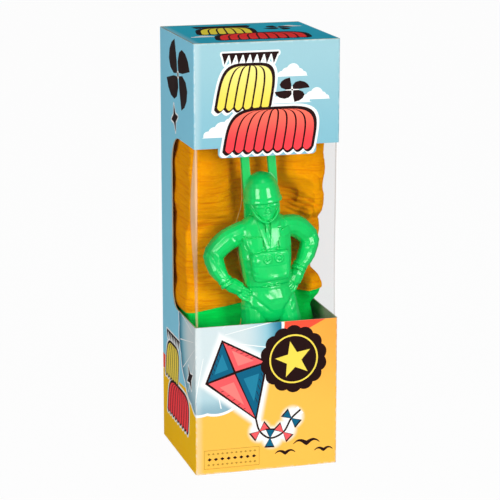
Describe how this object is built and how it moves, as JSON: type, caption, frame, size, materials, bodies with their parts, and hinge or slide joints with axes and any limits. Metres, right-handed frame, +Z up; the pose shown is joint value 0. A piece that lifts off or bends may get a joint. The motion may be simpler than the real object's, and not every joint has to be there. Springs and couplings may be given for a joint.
{
  "type": "toy parachute",
  "caption": "Toy parachute in a window carton: a moulded paratrooper in front of a folded two-colour cloth canopy, with tuck-end closures.",
  "frame": {"origin": "centre of the carton's base, on the surface that it stands on", "axes": "+Z up along the carton, the window and the figure face -Y, +X to the right as seen from the front"},
  "size_m": [0.069, 0.064, 0.203],
  "materials": {
    "printed_board": "satin",
    "plain_board": "satin",
    "clear_film": "gloss",
    "green_plastic": "gloss",
    "orange_nylon": "matte",
    "green_nylon": "matte",
    "clear_thread": "satin"
  },
  "bodies": {
    "carton": {"carton_sleeve": "printed_board", "window_film": "clear_film", "paratrooper_figure": "green_plastic", "canopy_orange_cloth": "orange_nylon", "canopy_green_skirt": "green_nylon", "suspension_line": "clear_thread"},
    "top_lid": {"top_lid": "printed_board"},
    "top_tuck_flap": {"top_tuck_flap": "plain_board"},
    "top_dust_flap_left": {"top_dust_flap_left": "plain_board"},
    "top_dust_flap_right": {"top_dust_flap_right": "plain_board"},
    "bottom_lid": {"bottom_lid": "printed_board"},
    "bottom_tuck_flap": {"bottom_tuck_flap": "plain_board"},
    "bottom_dust_flap_left": {"bottom_dust_flap_left": "plain_board"},
    "bottom_dust_flap_right": {"bottom_dust_flap_right": "plain_board"}
  },
  "joints": [
    {"name": "top_lid_hinge", "type": "hinge", "parent": "carton", "child": "top_lid", "pos_m": [0, -0.03175, 0.20275], "axis": [1, 0, 0], "range_deg": [0, 180]},
    {"name": "top_tuck_crease", "type": "hinge", "parent": "top_lid", "child": "top_tuck_flap", "pos_m": [0, 0.03095, 0.20275], "axis": [1, 0, 0], "range_deg": [0, 45]},
    {"name": "top_dust_crease_left", "type": "hinge", "parent": "carton", "child": "top_dust_flap_left", "pos_m": [-0.03425, 0, 0.2021], "axis": [0, -1, 0], "range_deg": [0, 90]},
    {"name": "top_dust_crease_right", "type": "hinge", "parent": "carton", "child": "top_dust_flap_right", "pos_m": [0.03425, 0, 0.2021], "axis": [0, 1, 0], "range_deg": [0, 90]},
    {"name": "bottom_lid_hinge", "type": "hinge", "parent": "carton", "child": "bottom_lid", "pos_m": [0, -0.03175, 0.00025], "axis": [-1, 0, 0], "range_deg": [0, 180]},
    {"name": "bottom_tuck_crease", "type": "hinge", "parent": "bottom_lid", "child": "bottom_tuck_flap", "pos_m": [0, 0.03095, 0.00025], "axis": [-1, 0, 0], "range_deg": [0, 45]},
    {"name": "bottom_dust_crease_left", "type": "hinge", "parent": "carton", "child": "bottom_dust_flap_left", "pos_m": [-0.03425, 0, 0.0009], "axis": [0, 1, 0], "range_deg": [0, 90]},
    {"name": "bottom_dust_crease_right", "type": "hinge", "parent": "carton", "child": "bottom_dust_flap_right", "pos_m": [0.03425, 0, 0.0009], "axis": [0, -1, 0], "range_deg": [0, 90]}
  ],
  "couplings": [
    {"joint": "top_tuck_crease", "follows": "top_lid_hinge", "ratio": 0.2},
    {"joint": "top_dust_crease_left", "follows": "top_lid_hinge", "ratio": 0.48},
    {"joint": "top_dust_crease_right", "follows": "top_lid_hinge", "ratio": 0.48},
    {"joint": "bottom_tuck_crease", "follows": "bottom_lid_hinge", "ratio": 0.2},
    {"joint": "bottom_dust_crease_left", "follows": "bottom_lid_hinge", "ratio": 0.48},
    {"joint": "bottom_dust_crease_right", "follows": "bottom_lid_hinge", "ratio": 0.48}
  ]
}
